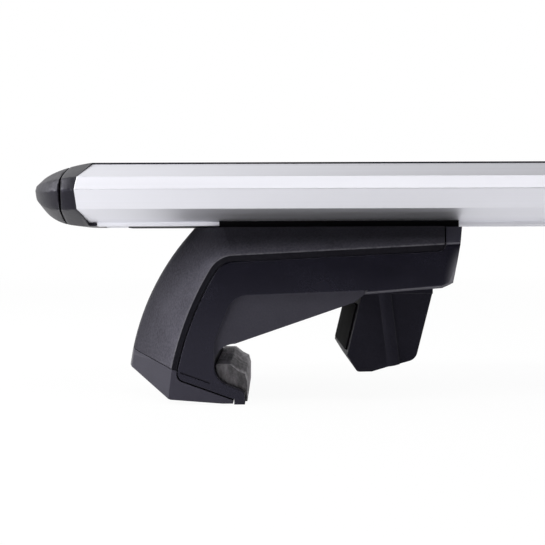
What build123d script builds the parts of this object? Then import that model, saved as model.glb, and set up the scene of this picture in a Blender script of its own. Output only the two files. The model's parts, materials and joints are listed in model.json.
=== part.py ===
from build123d import *
import os
from math import asin, atan2, cos, degrees, radians, sin, sqrt, tan

os.makedirs("parts", exist_ok=True)

# Whole crossbar: X along the bar, -Y its leading edge, Z up from the ground under the feet
BAR_LENGTH = 1144.6
FOOT_INSET = 84.3
UNDERSIDE = 79.0

# Bar section, heights from its underside
BAR_CHORD = 78.0
BAR_RISE = 29.6
BAR_WALL = 2.0
LAND_WIDTH = 26.0
LAND_DROP = 1.7
NOSE_SETBACK = 4.7
NOSE_LOW = 6.7
NOSE_MID = 15.0
NOSE_HIGH = 20.9
REAR_SETBACK = 8.0
REAR_LOW = 6.9
REAR_MID = 13.0
REAR_HIGH = 21.4
NOSE_ROUND = 0.4

# Upper T-slot and its rubber strip
STRIP_WIDTH = 14.0
STRIP_PROUD = 0.8
STRIP_SEAT = 1.2
STRIP_BARB = 1.4
STRIP_GROOVE = 1.2
STRIP_GROOVE_PITCH = 3.0
STRIP_GROOVES = 4
MOUTH = 11.0
SLOT_LIP = 2.6
SLOT_WIDTH = 21.0
SLOT_DEPTH = 8.0
STRIP_CLEAR = 0.1

# Lower T-slot and the plate that slides in it
LOW_MOUTH = 12.0
LOW_LIP = 2.4
LOW_WIDTH = 23.0
LOW_DEPTH = 6.0
PLATE_CLEAR = 0.3
PLATE_THICK = 4.0
PLATE_PROUD = 0.6
PLATE_OUTER = -67.5
PLATE_INSET = 2.3

# End caps
CAP_LENGTH = 28.3
COLLAR_LENGTH = 5.8
CAP_GROOVE = 0.9
SPIGOT_INSET = 8.0
SPIGOT_LENGTH = 4.0
CAP_TIP_Z = 17.2
CAP_STATIONS = 8
CAP_END = 0.985
CAP_SEAM_BULGE = 5.0
PLUG_LENGTH = 16.0
CAP_CLEAR = 0.2
TAB_LENGTH = 3.4

# Foot outline in side view: crease of the crown, ridge, toe and tail
FOOT_HALF = 33.5
CORNER_X = -15.9
CORNER_DROP = 26.0
CORNER_R = 12.0
BEAM_TILT = 2.8
LEG_LEAN = 31.0
LEG_R = 140.0
LEG_LOW_Z = 16.2
RIDGE_X = 50.0
RIDGE_DROP = 82.0
RIDGE_R = 118.3
RIDGE_HALF = 9.0
RIDGE_FLAT = 3.5
RIDGE_SOFT = 1.6
RIDGE_BEND = 41.0
RIDGE_RUN = 15.0
RIDGE_LOW = 10.8
RIDGE_NOSE = 7.8
TOE_X = -44.8
TOE_Z = 2.6
KNEE_RUN = 1.0
KNEE_DROP = 0.42
HEEL_X = -15.9
HEEL_Z = 0.0
TOE_LIFT = 0.4
TAIL_TOP_X = 84.9
TAIL_GAP = 1.0
TAIL_LEAN = 10.3
TAIL_HEIGHT = 25.3
TAIL_CROWN = 6.0
TAIL_BEVEL_RISE = 9.5
TAIL_BEVEL_RUN = 2.3
TAIL_BEVEL_TURN = 45.0

# Cover, toe cap and the seams around them
COVER_WALL = 2.5
COVER_GAP = 0.9
COVER_CLEAR = 0.3
SIDE_BAND = 2.8
SEAM_GAP = 0.5
SEAM_CORNER = 3.5
COVER_END_INSET = 8.4
COVER_END_LEAN = 14.0
SPLIT_X = -44.6
SPLIT_Z = 16.0
SPLIT_TILT = 14.9
SPLIT_GAP = 0.3

# Hook, gap for the roof rail and web
LIP_START_X = -41.0
LIP_START_Z = 11.3
LIP_RUN_Z = 2.3
LIP_END_X = -11.2
LIP_END_Z = 5.3
LIP_ROUND = 3.0
PANEL_SLOT_RISE = 3.2
PANEL_SLOT_START = 0.5
PANEL_SLOT_LENGTH = 14.0
PANEL_SLOT_WIDTH = 0.7
PANEL_SLOT_DEPTH = 0.6
POCKET_X = -15.5
POCKET_Z = 17.0
POCKET_R = 9.4
POCKET_LOW = -60.0
WEB_END_X = 36.8
WEB_END_DROP = 3.5
BEAM_LOW_X = 41.4
BEAM_LOW_DROP = 4.9
BEAM_TAIL_INSET = 9.3
BEAM_TAIL_DROP = 2.1
BEAM_BEVEL = 1.3
WEB_RECESS = 1.5
WEB_TOP_DROP = 0.1
WEB_TOP_RISE = 2.0
WEB_CORNER_X = -16.5
WEB_CORNER_R = 10.0
WEB_LEG_X = -24.4
WEB_LEG_Z = 28.0

# Inside of the foot
SIDE_WALL = 3.5
CAVITY_START = 4.0
TAIL_WALL = 7.3
CHANNEL_RISE = 6.0
CHANNEL_HALF = 12.0
NECK_THICK = 9.8
GUIDE_DROP = 7.0
GUIDE_HEIGHT = 3.4
GUIDE_DEPTH = 1.8
NECK_HALF = 15.0
NECK_START = -24.0
RIB_PITCH = 26.0
RIB_WALL = 3.0
SADDLE_THICK = 1.2
SADDLE_OUTER = -23.5
SADDLE_BRIDGE = 5.0
SADDLE_LIP = 2.2
SADDLE_CLEAR = 0.2

# Clamp bolt and its small parts
BOLT_DROP = 1.0
BOLT_D = 8.0
BOLT_HEAD_D = 13.0
BOLT_HEAD_L = 8.0
BOLT_SOCKET = 6.0
BOLT_SOCKET_DEPTH = 4.5
HEAD_ROOM = 2.3
BOLT_TIP_GAP = 3.0
BOLT_FIT = 0.05
BOLT_FREE = 0.4
BOSS_D = 19.0
WASHER_D = 16.0
WASHER_T = 1.6
CLIP_D = 14.0
CLIP_T = 1.2
CLIP_GROOVE = 0.5
CLIP_PLAY = 0.2

# Jaw
JAW_CLEAR = 0.3
JAW_LENGTH = 31.5
JAW_PLAY = 5.5
JAW_SHOULDER_DROP = 14.0
JAW_LIP_REACH = 6.6
JAW_LIP_DROP = 27.2
JAW_TOE_REACH = 2.1
JAW_DROP = 34.6
JAW_HEEL_INSET = 7.5
JAW_HEEL_RISE = 5.4
JAW_TOE_RUN = 6.6
JAW_HEEL_R = 5.0
JAW_TOE_R = 2.0
JAW_RIB_TOP_INSET = 21.1
JAW_RIB_LOW_INSET = 16.9
JAW_RIB_WIDTH = 2.6
JAW_RIB_RAMP = 2.6
JAW_VALLEY = 1.7
JAW_PANEL = 1.1
JAW_EDGE = 0.4
JAW_POCKET_DEPTH = 20.0
JAW_POCKET_WIDTH = 13.0
JAW_POCKET_PITCH = 16.0
JAW_POCKET_RISE = 11.0
JAW_POCKET_DROP = 4.0
WING_SETBACK = 2.0
BLOCK_SETBACK = 6.0
NUT_SIZE = 13.0
NUT_T = 6.5
NUT_INSET = 15.5
NUT_CLEAR = 0.2
JAW_PAD_T = 2.2
JAW_PAD_SEAT = 1.4
JAW_PAD_INSET = 4.7
JAW_PAD_RISE = 1.7
JAW_PAD_DROP = 5.0

# Hook pad
HOOK_PAD_INSET = 3.5
HOOK_PAD_BACK_X = -23.9
HOOK_PAD_TOP_X = -18.0
HOOK_PAD_FACE_X = -10.2
HOOK_PAD_SHOULDER_Z = 12.6
HOOK_PAD_FACE_Z = 9.0
HOOK_PAD_LOW_Z = 0.7
HOOK_PAD_CLEAR = 0.1
HOOK_PAD_ROUND = 1.0
HOOK_PAD_EDGE = 0.7

# Screws that hold the slide plate to the foot
SCREW_D = 6.0
SCREW_HEAD_D = 10.5
SCREW_HEAD_L = 3.3
SCREW_SINK = 0.4
SCREW_OUTER_X = 16.0
SCREW_INSET = 20.0
SCREW_FREE = 0.3
SCREW_SOCKET = 4.0
SCREW_SOCKET_DEPTH = 2.0

# Levels worked out from the bar's underside down
FAR = 200.0
CREASE_SHARE = 0.41
NECK_TOP = UNDERSIDE - SADDLE_THICK
CHANNEL_ROOF = NECK_TOP - NECK_THICK
CAVITY_ROOF = CHANNEL_ROOF - CHANNEL_RISE
GUIDE_Z = CAVITY_ROOF - GUIDE_DROP
BOLT_Z = CAVITY_ROOF - BOLT_DROP
COVER_TOP = UNDERSIDE - COVER_GAP
CORNER_Z = UNDERSIDE - CORNER_DROP
RIDGE_Z = UNDERSIDE - RIDGE_DROP
TAIL_TOP_Z = UNDERSIDE - TAIL_GAP
TAIL_LOW_Z = TAIL_TOP_Z - TAIL_HEIGHT
BEAM_LOW_Z = TAIL_LOW_Z - BEAM_LOW_DROP
BEAM_TAIL_Z = TAIL_LOW_Z - BEAM_TAIL_DROP
WEB_END_Z = BEAM_LOW_Z - WEB_END_DROP
WEB_TOP_Z = BEAM_LOW_Z - WEB_TOP_DROP
JAW_SHOULDER_Z = CAVITY_ROOF - JAW_SHOULDER_DROP
JAW_LIP_Z = JAW_SHOULDER_Z - JAW_LIP_DROP
JAW_TOE_Z = JAW_SHOULDER_Z - JAW_DROP
JAW_HEEL_Z = JAW_TOE_Z + JAW_HEEL_RISE
JAW_PAD_LOW_Z = JAW_LIP_Z + JAW_PAD_RISE
JAW_PAD_HIGH_Z = JAW_SHOULDER_Z - JAW_PAD_DROP

# Places along the bar, from the foot's inner end outward
FOOT_X = BAR_LENGTH / 2 - FOOT_INSET
COVER_END_X = TAIL_TOP_X - COVER_END_INSET
BEAM_TAIL_X = TAIL_TOP_X - BEAM_TAIL_INSET
CAVITY_END = TAIL_TOP_X - TAIL_WALL
PLATE_INNER = TAIL_TOP_X - PLATE_INSET
SADDLE_INNER = PLATE_INNER + SADDLE_BRIDGE
SCREW_INNER_X = PLATE_INNER - SCREW_INSET
BOLT_TIP_X = CAVITY_END - BOLT_TIP_GAP
JAW_BACK_X = CAVITY_END - JAW_PLAY
JAW_FRONT_X = JAW_BACK_X - JAW_LENGTH
JAW_LIP_X = JAW_FRONT_X - JAW_LIP_REACH
JAW_TOE_X = JAW_FRONT_X - JAW_TOE_REACH
JAW_HEEL_X = JAW_BACK_X - JAW_HEEL_INSET
JAW_RIB_TOP_X = JAW_BACK_X - JAW_RIB_TOP_INSET
JAW_RIB_LOW_X = JAW_BACK_X - JAW_RIB_LOW_INSET
NUT_X = JAW_BACK_X - NUT_INSET
CLIP_X = CAVITY_START + CLIP_PLAY
BOLT_REACH = sqrt(RIDGE_R**2 - (BOLT_Z + BOLT_HEAD_D / 2 - RIDGE_Z) ** 2)
HEAD_SEAT_X = RIDGE_X - BOLT_REACH + COVER_WALL + HEAD_ROOM + BOLT_HEAD_L
BOLT_SEAT_X = HEAD_SEAT_X + WASHER_T

# Widths across the foot and shares of the cap
COVER_STEP = COVER_WALL + COVER_CLEAR
SADDLE_HALF = LAND_WIDTH / 2 + SADDLE_CLEAR + SADDLE_LIP
NECK_WAY = max(NECK_HALF, SADDLE_HALF) + COVER_CLEAR
CAVITY_HALF = FOOT_HALF - SIDE_WALL
JAW_HALF = CAVITY_HALF - JAW_CLEAR
JAW_PAD_HALF = JAW_HALF - JAW_PAD_INSET
HOOK_PAD_HALF = FOOT_HALF - HOOK_PAD_INSET
SLOT_COLUMN = max(SLOT_WIDTH, LOW_WIDTH) + 2 * BAR_WALL
GROOVE_X = (COLLAR_LENGTH + CAP_GROOVE) / CAP_LENGTH
FACET_SLOPE = (NOSE_LOW - LAND_DROP) / (BAR_CHORD / 2 - NOSE_SETBACK - LAND_WIDTH / 2)


def swing(x, z, radius, angle):
    """Point on a circle, its angle measured up from the outward (-X) direction."""
    return (x - radius * cos(radians(angle)), z + radius * sin(radians(angle)))


def tail_x(z):
    """Place of the foot's leaning inner end at a height."""
    return TAIL_TOP_X + (z - TAIL_TOP_Z) * tan(radians(TAIL_LEAN))


def beam_end(start, inset):
    """Where a line from start, rising with the beam, meets the foot's inner end."""
    lean = tan(radians(TAIL_LEAN))
    rise = tan(radians(BEAM_TILT))
    foot_z = start[1] - start[0] * rise
    x = (TAIL_TOP_X - inset + (foot_z - TAIL_TOP_Z) * lean) / (1 - rise * lean)
    return (x, foot_z + x * rise)


def cross_plane(x):
    """Plane across the bar: its first axis along Y, its second along Z from the underside."""
    return Plane(origin=(x, 0, UNDERSIDE), x_dir=(0, 1, 0), z_dir=(1, 0, 0))


def bar_corners(low, high):
    """Corners of the bar's outside between a lowest and a highest level."""
    reach = BAR_CHORD / 2
    return [
        (-LAND_WIDTH / 2, low),
        (LAND_WIDTH / 2, low),
        (reach - REAR_SETBACK, REAR_LOW),
        (reach, REAR_MID),
        (reach - REAR_SETBACK, REAR_HIGH),
        (STRIP_WIDTH / 2, high),
        (-STRIP_WIDTH / 2, high),
        (-reach + NOSE_SETBACK, NOSE_HIGH),
        (-reach, NOSE_MID),
        (-reach + NOSE_SETBACK, NOSE_LOW),
    ]


# Bar: hollow section with an upper and a lower T-slot
with BuildSketch() as side_hollows:
    with BuildLine():
        Polyline(bar_corners(LAND_DROP, BAR_RISE), close=True)
    make_face()
    offset(amount=-BAR_WALL, kind=Kind.INTERSECTION, mode=Mode.REPLACE)
    with Locations((0, BAR_RISE / 2)):
        Rectangle(SLOT_COLUMN, 2 * BAR_RISE, mode=Mode.SUBTRACT)

with BuildSketch() as bar_section:
    with BuildLine():
        Polyline(bar_corners(LAND_DROP, BAR_RISE), close=True)
    make_face()
    across = bar_section.vertices().sort_by(Axis.X)
    fillet([across[0], across[-1]], NOSE_ROUND)
    Rectangle(LAND_WIDTH, LAND_DROP, align=(Align.CENTER, Align.MIN))
    add(side_hollows.sketch, mode=Mode.SUBTRACT)
    # Upper slot: seat of the strip, mouth and chamber
    with Locations((0, BAR_RISE)):
        Rectangle(STRIP_WIDTH, 2 * STRIP_SEAT, mode=Mode.SUBTRACT)
        Rectangle(MOUTH, 2 * (STRIP_SEAT + SLOT_LIP + SLOT_DEPTH), mode=Mode.SUBTRACT)
    with Locations((0, BAR_RISE - STRIP_SEAT - SLOT_LIP - SLOT_DEPTH / 2)):
        Rectangle(SLOT_WIDTH, SLOT_DEPTH, mode=Mode.SUBTRACT)
    # Lower slot: mouth and chamber
    Rectangle(LOW_MOUTH, 2 * (LOW_LIP + LOW_DEPTH), mode=Mode.SUBTRACT)
    with Locations((0, LOW_LIP + LOW_DEPTH / 2)):
        Rectangle(LOW_WIDTH, LOW_DEPTH, mode=Mode.SUBTRACT)

with BuildPart() as bar_extrusion:
    with BuildSketch(cross_plane(0)):
        add(bar_section.sketch)
    extrude(amount=BAR_LENGTH / 2, both=True)
    # Notches in the land for the collars' tabs
    with Locations((-BAR_LENGTH / 2, 0, UNDERSIDE), (BAR_LENGTH / 2, 0, UNDERSIDE)):
        Box(2 * (TAB_LENGTH + CAP_CLEAR), BAR_CHORD, 2 * LAND_DROP, mode=Mode.SUBTRACT)

with BuildPart() as top_strip:
    with BuildSketch(cross_plane(0)):
        seat_z = BAR_RISE - STRIP_SEAT
        barb_z = seat_z - SLOT_LIP - STRIP_CLEAR - STRIP_BARB
        with Locations((0, seat_z)):
            Rectangle(
                STRIP_WIDTH - 2 * STRIP_CLEAR,
                STRIP_SEAT + STRIP_PROUD,
                align=(Align.CENTER, Align.MIN),
            )
        with Locations((0, barb_z)):
            Rectangle(
                MOUTH - 2 * STRIP_CLEAR, seat_z - barb_z, align=(Align.CENTER, Align.MIN)
            )
            Rectangle(
                (MOUTH + SLOT_WIDTH) / 2, STRIP_BARB, align=(Align.CENTER, Align.MIN)
            )
        # Grooves that drain the strip's face
        with Locations((0, BAR_RISE + STRIP_PROUD)):
            with GridLocations(STRIP_GROOVE_PITCH, 0, STRIP_GROOVES, 1):
                Rectangle(STRIP_GROOVE, STRIP_GROOVE, mode=Mode.SUBTRACT)
    extrude(amount=BAR_LENGTH / 2, both=True)


# End caps: the bar's facets carried on to a rounded tip
def cap_outline(share):
    """Cap section at a share of its length, its chord, top and bottom closing on the tip."""
    high = BAR_RISE + STRIP_PROUD
    chord = (1 - share**2) ** 0.7
    top = CAP_TIP_Z + (high - CAP_TIP_Z) * (1 - share**1.2) ** 0.45
    bottom = CAP_TIP_Z - CAP_TIP_Z * (1 - share**2.6) ** 0.7
    lift = (top - bottom) / high
    Polyline([(y * chord, bottom + z * lift) for y, z in bar_corners(0, high)], close=True)


def inboard(seam_x):
    """All that lies inboard of a seam across the cap, bowed outward in its middle."""
    radius = (BAR_CHORD**2 / 4 + CAP_SEAM_BULGE**2) / (2 * CAP_SEAM_BULGE)
    with BuildPart() as room:
        with Locations((seam_x - CAP_SEAM_BULGE + radius, 0, UNDERSIDE)):
            Cylinder(radius, FAR)
    return room.part


with BuildPart() as cap_shape:
    for step in range(CAP_STATIONS + 1):
        share = CAP_END * (1 - (1 - step / CAP_STATIONS) ** 1.6)
        with BuildSketch(cross_plane(-BAR_LENGTH / 2 - share * CAP_LENGTH)):
            with BuildLine():
                cap_outline(share)
            make_face()
    loft()

with BuildSketch() as spigot:
    with BuildLine():
        cap_outline(GROOVE_X)
    make_face()
    offset(amount=-SPIGOT_INSET, kind=Kind.INTERSECTION, mode=Mode.REPLACE)

collar_room = inboard(-BAR_LENGTH / 2 - COLLAR_LENGTH)
nose_start = inboard(-BAR_LENGTH / 2 - COLLAR_LENGTH - CAP_GROOVE)

with BuildPart() as end_collar:
    add(cap_shape.part)
    add(collar_room, mode=Mode.INTERSECT)
    # Spigot that the nose is pushed on
    with BuildSketch(cross_plane(-BAR_LENGTH / 2 - COLLAR_LENGTH)):
        add(spigot.sketch)
    extrude(amount=-(CAP_SEAM_BULGE + CAP_GROOVE + SPIGOT_LENGTH))
    # Plugs in the bar's hollows
    with BuildSketch(cross_plane(-BAR_LENGTH / 2)):
        add(side_hollows.sketch)
        offset(amount=-CAP_CLEAR, kind=Kind.INTERSECTION, mode=Mode.REPLACE)
    extrude(amount=PLUG_LENGTH)
    # Tab in the notch of the land
    with BuildSketch(cross_plane(-BAR_LENGTH / 2)):
        Rectangle(LAND_WIDTH, LAND_DROP - CAP_CLEAR, align=(Align.CENTER, Align.MIN))
    extrude(amount=TAB_LENGTH)

with BuildPart() as end_nose:
    add(cap_shape.part)
    add(nose_start, mode=Mode.SUBTRACT)
    with BuildSketch(cross_plane(-BAR_LENGTH / 2 - GROOVE_X * CAP_LENGTH)):
        add(spigot.sketch)
        offset(amount=CAP_CLEAR, kind=Kind.INTERSECTION, mode=Mode.REPLACE)
    extrude(amount=-(CAP_SEAM_BULGE + SPIGOT_LENGTH + CAP_CLEAR), mode=Mode.SUBTRACT)


# Foot: outlines in side view, X outward negative, for the left foot about its own origin
def crease_run(inset, low_x, low_z):
    """Beam top, corner and leg of the crown's lower edge, moved inward, then a line to a low point."""
    beam = swing(CORNER_X, CORNER_Z, CORNER_R - inset, 90 - BEAM_TILT)
    bend = swing(CORNER_X, CORNER_Z, CORNER_R - inset, (90 - BEAM_TILT + LEG_LEAN) / 2)
    joint = swing(CORNER_X, CORNER_Z, CORNER_R - inset, LEG_LEAN)
    leg_x, leg_z = swing(CORNER_X, CORNER_Z, CORNER_R - LEG_R, LEG_LEAN)
    leg_end = degrees(asin((LEG_LOW_Z - leg_z) / LEG_R))
    shin = swing(leg_x, leg_z, LEG_R - inset, (LEG_LEAN + leg_end) / 2)
    ankle = swing(leg_x, leg_z, LEG_R - inset, leg_end)
    ThreePointArc(beam, bend, joint)
    ThreePointArc(joint, shin, ankle)
    Line(ankle, (low_x, low_z))
    return beam


def crease_outline(inset, floor):
    """Foot at the crease of its sides: the crown moved inward by inset, the sole up by floor."""
    toe = (TOE_X + inset, TOE_Z + floor)
    beam = crease_run(inset, *toe)
    Polyline(
        toe,
        (TOE_X + inset + KNEE_RUN, TOE_Z + floor - KNEE_DROP),
        (HEEL_X, HEEL_Z + floor),
        (tail_x(HEEL_Z) - inset, HEEL_Z + floor),
        beam_end(beam, inset),
        beam,
    )


def ridge_outline(inset, floor):
    """Foot along the ridge of its crown, moved inward by inset, the sole up by floor."""
    bend, shin, ankle = [
        swing(RIDGE_X, RIDGE_Z, RIDGE_R - inset, angle)
        for angle in (RIDGE_BEND, (RIDGE_BEND + RIDGE_LOW) / 2, RIDGE_LOW)
    ]
    run = RIDGE_RUN / cos(radians(RIDGE_BEND))
    top = (bend[0] + run * sin(radians(RIDGE_BEND)), bend[1] + RIDGE_RUN)
    prow = swing(RIDGE_X, RIDGE_Z + floor, RIDGE_R - inset, RIDGE_NOSE)
    Line(top, bend)
    ThreePointArc(bend, shin, ankle)
    Polyline(
        ankle,
        prow,
        (TOE_X + inset + KNEE_RUN, TOE_Z + floor - KNEE_DROP),
        (HEEL_X, HEEL_Z + floor),
        (tail_x(HEEL_Z) + TAIL_CROWN - inset, HEEL_Z + floor),
        beam_end(top, inset - TAIL_CROWN),
        top,
    )


def hood(inset):
    """Outside of the foot with its crown, moved inward by inset."""
    near = [
        (FOOT_HALF - inset, crease_outline, CREASE_SHARE * inset),
        (RIDGE_HALF, ridge_outline, RIDGE_SOFT + inset),
        (RIDGE_FLAT, ridge_outline, inset),
    ]
    far = [(-half, outline, depth) for half, outline, depth in reversed(near)]
    with BuildPart() as shape:
        for half, outline, depth in near + far:
            with BuildSketch(Plane.XZ.offset(half)):
                with BuildLine():
                    outline(depth, inset)
                make_face()
        loft(ruled=True)
    return shape.part


def inside_seam(grow):
    """All that lies inside the seam between cover and side panel, grown by a gap."""
    with BuildSketch() as region:
        start = (LIP_START_X - grow, LIP_START_Z - grow)
        with BuildLine():
            beam = crease_run(SIDE_BAND - grow, *start)
            rise = tan(radians(BEAM_TILT))
            end_x = COVER_END_X - grow
            corner = (end_x, beam[1] + (end_x - beam[0]) * rise)
            top_x = end_x + (FAR - corner[1]) * tan(radians(COVER_END_LEAN))
            Polyline(
                start,
                (HEEL_X - grow, LIP_RUN_Z - grow),
                (HEEL_X - grow, -FAR),
                (FAR, -FAR),
                (FAR, FAR),
                (top_x, FAR),
                corner,
                beam,
            )
        make_face()
        for point in (corner, start):
            fillet(region.vertices().sort_by_distance(point)[0], SEAM_CORNER)
    return region.sketch


def is_beam_edge(edge):
    """Outer lower edge of the beam's side walls, inward of the web."""
    middle = edge.center()
    on_side = abs(abs(middle.Y) - FOOT_HALF) < WEB_RECESS / 2
    return on_side and middle.X > BEAM_LOW_X and middle.Z < TAIL_LOW_Z + BEAM_BEVEL


def tail_bevel(side):
    """Plane that takes off the low corner between a side and the inner end."""
    low_x = tail_x(TAIL_LOW_Z) - TAIL_BEVEL_RUN
    high_z = TAIL_LOW_Z + TAIL_BEVEL_RISE
    along = Vector(tail_x(high_z) - low_x, 0, TAIL_BEVEL_RISE).normalized()
    level = Vector(along.Z, 0, -along.X)
    turn = radians(TAIL_BEVEL_TURN)
    away = level * cos(turn) + Vector(0, side * sin(turn), 0)
    return Plane(origin=(low_x, side * FOOT_HALF, TAIL_LOW_Z), x_dir=along, z_dir=away)


with BuildSketch() as rail_gap:
    pocket_low = swing(POCKET_X, POCKET_Z, POCKET_R, POCKET_LOW)
    pocket_top = (POCKET_X, POCKET_Z + POCKET_R)
    with BuildLine():
        ThreePointArc(pocket_low, (POCKET_X - POCKET_R, POCKET_Z), pocket_top)
        Polyline(
            pocket_top,
            (WEB_END_X, WEB_END_Z),
            (BEAM_LOW_X, BEAM_LOW_Z),
            (BEAM_TAIL_X, BEAM_TAIL_Z),
            (tail_x(TAIL_LOW_Z), TAIL_LOW_Z),
            (FAR, TAIL_LOW_Z),
            (FAR, -FAR),
            (LIP_END_X, -FAR),
            (LIP_END_X, LIP_END_Z),
            pocket_low,
        )
    make_face()
    fillet(rail_gap.vertices().sort_by_distance((LIP_END_X, LIP_END_Z))[0], LIP_ROUND)

with BuildSketch() as web_recess:
    with BuildLine():
        Polyline(
            (BEAM_LOW_X, WEB_TOP_Z + WEB_TOP_RISE),
            (WEB_CORNER_X, WEB_TOP_Z),
            (WEB_LEG_X, WEB_LEG_Z),
            (POCKET_X - POCKET_R, POCKET_Z),
            (BEAM_LOW_X, POCKET_Z),
            close=True,
        )
    make_face()
    inner_corner = web_recess.vertices().sort_by_distance((WEB_CORNER_X, WEB_TOP_Z))[0]
    fillet(inner_corner, WEB_CORNER_R)

panel_region = inside_seam(0)
cover_limit = inside_seam(SEAM_GAP)
foot_skin = hood(0)
cover_room = hood(COVER_WALL)
core_room = hood(COVER_STEP)

with BuildPart() as ribs:
    with Locations((0, -RIB_PITCH / 2, 0), (0, RIB_PITCH / 2, 0)):
        Box(2 * FAR, RIB_WALL, 2 * FAR)
    add(core_room, mode=Mode.INTERSECT)
    split(bisect_by=Plane.XY.offset(COVER_TOP - COVER_STEP), keep=Keep.BOTTOM)

with BuildPart() as neck:
    with Locations((NECK_START, 0, CAVITY_ROOF)):
        Box(
            FAR,
            2 * NECK_HALF,
            NECK_TOP - CAVITY_ROOF,
            align=(Align.MIN, Align.CENTER, Align.MIN),
        )
    add(core_room, mode=Mode.INTERSECT)

# Ledge behind the cover's side band
with BuildPart() as ledge:
    with BuildSketch(Plane.XZ):
        with BuildLine():
            crease_outline(CREASE_SHARE * COVER_STEP, COVER_STEP)
        make_face()
    extrude(amount=FOOT_HALF, both=True)
    add(core_room, mode=Mode.INTERSECT)

# Short slot in the side panel, along the seam of the toe
with BuildSketch() as panel_slot:
    seam_drop = degrees(atan2(LIP_START_Z - LIP_RUN_Z, HEEL_X - LIP_START_X))
    middle = PANEL_SLOT_START + PANEL_SLOT_LENGTH / 2
    with Locations(Location((LIP_START_X, LIP_START_Z, 0), (0, 0, -seam_drop))):
        with Locations((middle, PANEL_SLOT_RISE)):
            SlotOverall(PANEL_SLOT_LENGTH, PANEL_SLOT_WIDTH)

with BuildPart() as foot_body:
    with BuildSketch(Plane.XZ):
        add(panel_region)
    extrude(amount=FOOT_HALF, both=True)
    add(foot_skin, mode=Mode.INTERSECT)
    split(bisect_by=Plane.XY.offset(NECK_TOP), keep=Keep.BOTTOM)
    add(ledge.part)
    add(ribs.part)
    add(neck.part)
    # Boss for the bolt's head
    with BuildSketch(Plane.YZ.offset(BOLT_SEAT_X)):
        with Locations((0, BOLT_Z)):
            Circle(BOSS_D / 2)
    extrude(amount=CAVITY_START - BOLT_SEAT_X)
    # Room for the rail and the recessed web above it
    with BuildSketch(Plane.XZ):
        add(rail_gap.sketch)
    extrude(amount=FAR, both=True, mode=Mode.SUBTRACT)
    for side in (-1, 1):
        with BuildSketch(Plane.XZ.offset(side * FOOT_HALF)):
            add(web_recess.sketch)
        extrude(amount=-side * WEB_RECESS, mode=Mode.SUBTRACT)
        with BuildSketch(Plane.XZ.offset(side * FOOT_HALF)):
            add(panel_slot.sketch)
        extrude(amount=-side * PANEL_SLOT_DEPTH, mode=Mode.SUBTRACT)
    # Bevels along the beam's lower edges and up its inner corners
    low_edges = foot_body.edges().filter_by(is_beam_edge)
    chamfer(low_edges, BEAM_BEVEL)
    for side in (-1, 1):
        split(bisect_by=tail_bevel(side), keep=Keep.BOTTOM)
    # Room for the jaw, its guides and the bolt
    with Locations((CAVITY_START, 0, 0)):
        Box(
            CAVITY_END - CAVITY_START,
            2 * CAVITY_HALF,
            CAVITY_ROOF,
            align=(Align.MIN, Align.CENTER, Align.MIN),
            mode=Mode.SUBTRACT,
        )
        Box(
            CAVITY_END - CAVITY_START,
            2 * CHANNEL_HALF,
            CHANNEL_ROOF,
            align=(Align.MIN, Align.CENTER, Align.MIN),
            mode=Mode.SUBTRACT,
        )
    with Locations((CAVITY_START, 0, GUIDE_Z)):
        Box(
            CAVITY_END - CAVITY_START,
            2 * (CAVITY_HALF + GUIDE_DEPTH),
            GUIDE_HEIGHT,
            align=(Align.MIN, Align.CENTER, Align.MIN),
            mode=Mode.SUBTRACT,
        )
    with BuildSketch(Plane.YZ.offset(BOLT_SEAT_X)):
        with Locations((0, BOLT_Z)):
            Circle(BOLT_D / 2 + BOLT_FREE)
    extrude(amount=CAVITY_START - BOLT_SEAT_X, mode=Mode.SUBTRACT)
    # Seat of the bolt's head and washer, open outward
    with BuildSketch(Plane.YZ.offset(BOLT_SEAT_X)):
        with Locations((0, BOLT_Z)):
            Circle(WASHER_D / 2 + BOLT_FREE)
    extrude(amount=-FAR, mode=Mode.SUBTRACT)
    # Counterbored holes for the screws to the slide plate
    with BuildSketch(Plane.XY.offset(CHANNEL_ROOF)):
        with Locations((SCREW_OUTER_X, 0), (SCREW_INNER_X, 0)):
            Circle(SCREW_HEAD_D / 2 + SCREW_FREE)
    extrude(amount=SCREW_SINK + SCREW_HEAD_L, mode=Mode.SUBTRACT)
    with BuildSketch(Plane.XY.offset(CHANNEL_ROOF)):
        with Locations((SCREW_OUTER_X, 0), (SCREW_INNER_X, 0)):
            Circle(SCREW_D / 2 + SCREW_FREE)
    extrude(amount=NECK_TOP - CHANNEL_ROOF, mode=Mode.SUBTRACT)

with BuildPart() as crown_hollow:
    add(cover_room)
    split(bisect_by=Plane.XY.offset(COVER_TOP - COVER_WALL), keep=Keep.BOTTOM)

with BuildPart() as crown:
    add(foot_skin)
    split(bisect_by=Plane.XY.offset(COVER_TOP), keep=Keep.BOTTOM)
    add(crown_hollow.part, mode=Mode.SUBTRACT)
    with BuildSketch(Plane.XZ):
        add(cover_limit)
    extrude(amount=FAR, both=True, mode=Mode.SUBTRACT)
    # Way out for the neck
    with Locations((NECK_START - COVER_CLEAR, 0, CORNER_Z)):
        Box(
            FAR,
            2 * NECK_WAY,
            FAR,
            align=(Align.MIN, Align.CENTER, Align.MIN),
            mode=Mode.SUBTRACT,
        )

split_plane = Plane(
    origin=(SPLIT_X, 0, SPLIT_Z),
    x_dir=(0, 1, 0),
    z_dir=(sin(radians(SPLIT_TILT)), 0, cos(radians(SPLIT_TILT))),
)

with BuildPart() as foot_cover:
    add(crown.part)
    split(bisect_by=split_plane, keep=Keep.TOP)

with BuildPart() as toe_cap:
    add(crown.part)
    split(bisect_by=split_plane.offset(-SPLIT_GAP), keep=Keep.BOTTOM)
    split(bisect_by=Plane.XY.offset(TOE_LIFT), keep=Keep.TOP)

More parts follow.
